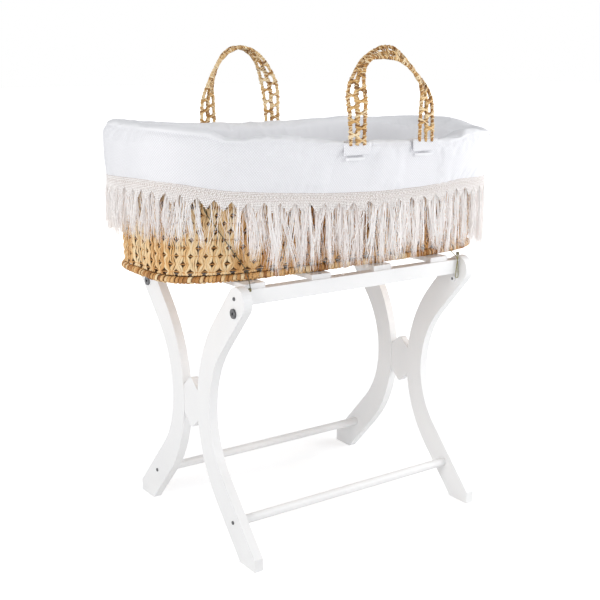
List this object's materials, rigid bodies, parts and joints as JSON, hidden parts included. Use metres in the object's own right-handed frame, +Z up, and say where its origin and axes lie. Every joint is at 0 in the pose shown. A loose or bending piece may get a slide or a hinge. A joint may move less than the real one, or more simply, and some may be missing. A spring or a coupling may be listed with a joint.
{
  "type": "bassinet on stand",
  "caption": "Woven oval Moses basket with padded cover, feather fringe and braided handles, resting on a curved-leg wooden stand.",
  "frame": {"origin": "middle of the stand's footprint, on the floor, under the middle of the basket", "axes": "+X along the basket from its head end to its foot end, +Y across it towards the rear handle, +Z up"},
  "size_m": [0.7917, 0.4895, 0.9493],
  "materials": {
    "white_wood": "smooth white paint",
    "dark_steel": "dark oxide",
    "tie_cord": "twisted satin cord",
    "cover_fabric": "fine textured cotton",
    "lining_fabric": "plain cotton",
    "mattress_fabric": "plain cotton",
    "trim_braid": "woven lace braid",
    "feathers": "loose feather strands",
    "handle_leaf": "twisted dry leaf cord",
    "basket_leaf": "plaited dry leaf"
  },
  "bodies": {
    "stand": {"leg_front_left": "white_wood", "leg_rear_left": "white_wood", "leg_front_right": "white_wood", "leg_rear_right": "white_wood", "waist_block_left": "white_wood", "waist_block_right": "white_wood", "waist_dowels": "white_wood", "rail_front": "white_wood", "rail_rear": "white_wood", "stretcher_front": "white_wood", "stretcher_rear": "white_wood", "slat_1": "white_wood", "slat_2": "white_wood", "slat_3": "white_wood", "slat_4": "white_wood", "frame_bolts": "dark_steel", "bolt_nuts": "dark_steel", "rail_screws": "dark_steel", "stretcher_screws": "dark_steel", "slat_screws": "dark_steel"},
    "basket": {"basket_bottom": "basket_leaf", "basket_base_roll": "basket_leaf", "wall_head": "basket_leaf", "wall_foot": "basket_leaf", "wall_front": "basket_leaf", "wall_rear": "basket_leaf", "basket_rim_roll": "basket_leaf", "basket_lining": "lining_fabric", "cover_head": "cover_fabric", "cover_foot": "cover_fabric", "cover_front": "cover_fabric", "cover_rear": "cover_fabric", "trim_tape": "trim_braid", "feather_fringe": "feathers", "tie_cord_left": "tie_cord", "tie_cord_right": "tie_cord", "handle_roots": "handle_leaf"},
    "mattress": {"mattress": "mattress_fabric"},
    "handle_front": {"handle_front_bindings": "handle_leaf", "handle_front_edge_cords": "handle_leaf", "handle_front_middle_cord": "handle_leaf", "handle_front_lacing": "handle_leaf"},
    "handle_rear": {"handle_rear_bindings": "handle_leaf", "handle_rear_edge_cords": "handle_leaf", "handle_rear_middle_cord": "handle_leaf", "handle_rear_lacing": "handle_leaf"}
  },
  "joints": [
    {"name": "basket_lift", "type": "slide", "parent": "stand", "child": "basket", "axis": [0, 0, 1], "range_m": [0, 0.3]},
    {"name": "mattress_lift", "type": "slide", "parent": "basket", "child": "mattress", "axis": [0, 0, 1], "range_m": [0, 0.3]},
    {"name": "handle_front_swing", "type": "hinge", "parent": "basket", "child": "handle_front", "pos_m": [0.035, -0.2268, 0.74971], "axis": [1, 0, 0], "range_deg": [-9, 150]},
    {"name": "handle_rear_swing", "type": "hinge", "parent": "basket", "child": "handle_rear", "pos_m": [-0.013, 0.2268, 0.751], "axis": [-1, 0, 0], "range_deg": [-9, 150]}
  ]
}
